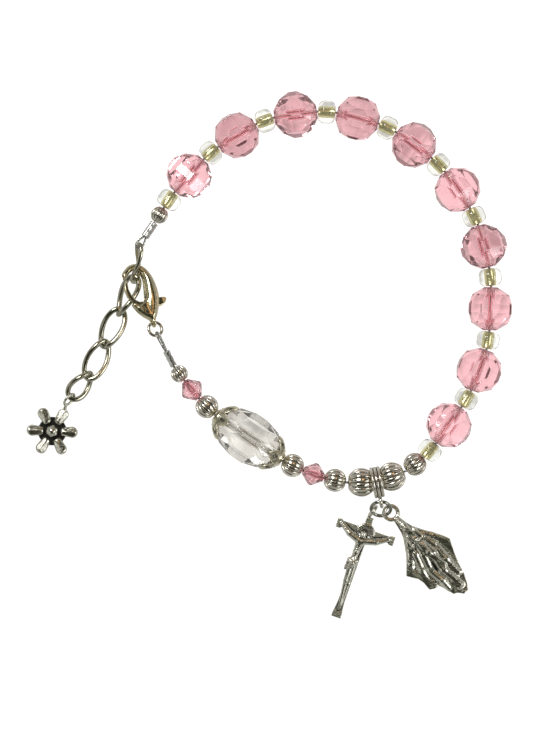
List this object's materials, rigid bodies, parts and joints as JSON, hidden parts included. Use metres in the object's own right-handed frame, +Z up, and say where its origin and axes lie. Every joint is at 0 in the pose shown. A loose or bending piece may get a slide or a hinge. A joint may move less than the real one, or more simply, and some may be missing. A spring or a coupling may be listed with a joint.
{
  "type": "rosary bracelet with crucifix and medal",
  "caption": "Strung glass bead rosary bracelet lying on its side, with an oval crystal, a bail carrying a crucifix and a medal, a lobster clasp, and an extender chain with a flower charm.",
  "frame": {"origin": "bottom centre of the whole box, on the surface that the bracelet lies on", "axes": "+Z up from the surface and along the wrist hole; +Y along the loop, away from the crucifix; +X away from the clasp"},
  "size_m": [0.0843, 0.0913, 0.0092],
  "materials": {
    "rose_glass": "cut and polished",
    "lined_glass": "clear with a metallic lining",
    "clear_glass": "cut and polished, faint iridescent coat",
    "bright_silver": "bright silver plate",
    "wire_steel": "bright wire",
    "antique_silver": "cast, with dark recesses",
    "chain_plate": "bright plate with a warm tone"
  },
  "bodies": {
    "bracelet": {"crystal_1": "rose_glass", "crystal_2": "rose_glass", "crystal_3": "rose_glass", "crystal_4": "rose_glass", "crystal_5": "rose_glass", "crystal_6": "rose_glass", "crystal_7": "rose_glass", "crystal_8": "rose_glass", "crystal_9": "rose_glass", "crystal_10": "rose_glass", "seed_1": "lined_glass", "seed_2": "lined_glass", "seed_3": "lined_glass", "seed_4": "lined_glass", "seed_5": "lined_glass", "seed_6": "lined_glass", "seed_7": "lined_glass", "seed_8": "lined_glass", "seed_9": "lined_glass", "seed_10": "lined_glass", "seed_11": "lined_glass", "corrugated_1": "bright_silver", "corrugated_2": "bright_silver", "corrugated_3": "bright_silver", "corrugated_4": "bright_silver", "corrugated_5": "bright_silver", "corrugated_6": "bright_silver", "corrugated_7": "bright_silver", "corrugated_8": "bright_silver", "bicone_1": "rose_glass", "bicone_2": "rose_glass", "oval_crystal": "clear_glass", "bead_cap_1": "bright_silver", "bead_cap_2": "bright_silver", "crimp_1": "wire_steel", "crimp_2": "wire_steel", "beading_wire": "wire_steel", "bail": "bright_silver", "charm_ring": "antique_silver", "crucifix": "antique_silver", "medal": "antique_silver", "link_1": "chain_plate", "link_2": "chain_plate", "link_3": "chain_plate", "link_4": "chain_plate", "link_5": "chain_plate", "flower_charm": "antique_silver", "clasp_body": "chain_plate", "clasp_ring": "bright_silver"},
    "lever": {"clasp_lever": "chain_plate"}
  },
  "joints": [
    {"name": "clasp_lever_hinge", "type": "hinge", "parent": "bracelet", "child": "lever", "pos_m": [-0.02024, 0.00936, 0.00337], "axis": [-0.3266, -0.2469, -0.9123], "range_deg": [0, 8], "stiffness_Nm_per_rad": 0.01, "springref_deg": -20.05}
  ]
}
